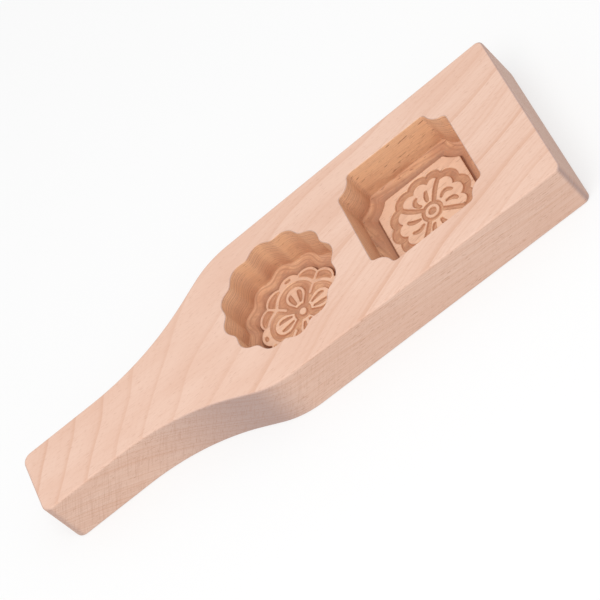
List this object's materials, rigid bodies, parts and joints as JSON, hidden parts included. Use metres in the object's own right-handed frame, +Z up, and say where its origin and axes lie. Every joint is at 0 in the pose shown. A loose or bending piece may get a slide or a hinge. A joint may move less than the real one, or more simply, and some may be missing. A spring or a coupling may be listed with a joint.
{
  "type": "wooden mooncake mould",
  "caption": "Paddle-shaped wooden mooncake mould with a scalloped round cavity, a square cavity with notched corners, carved flower floors and a flat handle.",
  "frame": {"origin": "middle of the flat back face that the mould lies on", "axes": "+X along the mould from the handle to the head, +Y across it, +Z up out of the cavities"},
  "size_m": [0.3, 0.1008, 0.0293],
  "materials": {
    "wood": "sanded, unvarnished"
  },
  "bodies": {
    "root": {"mould_body": "wood"}
  },
  "joints": []
}
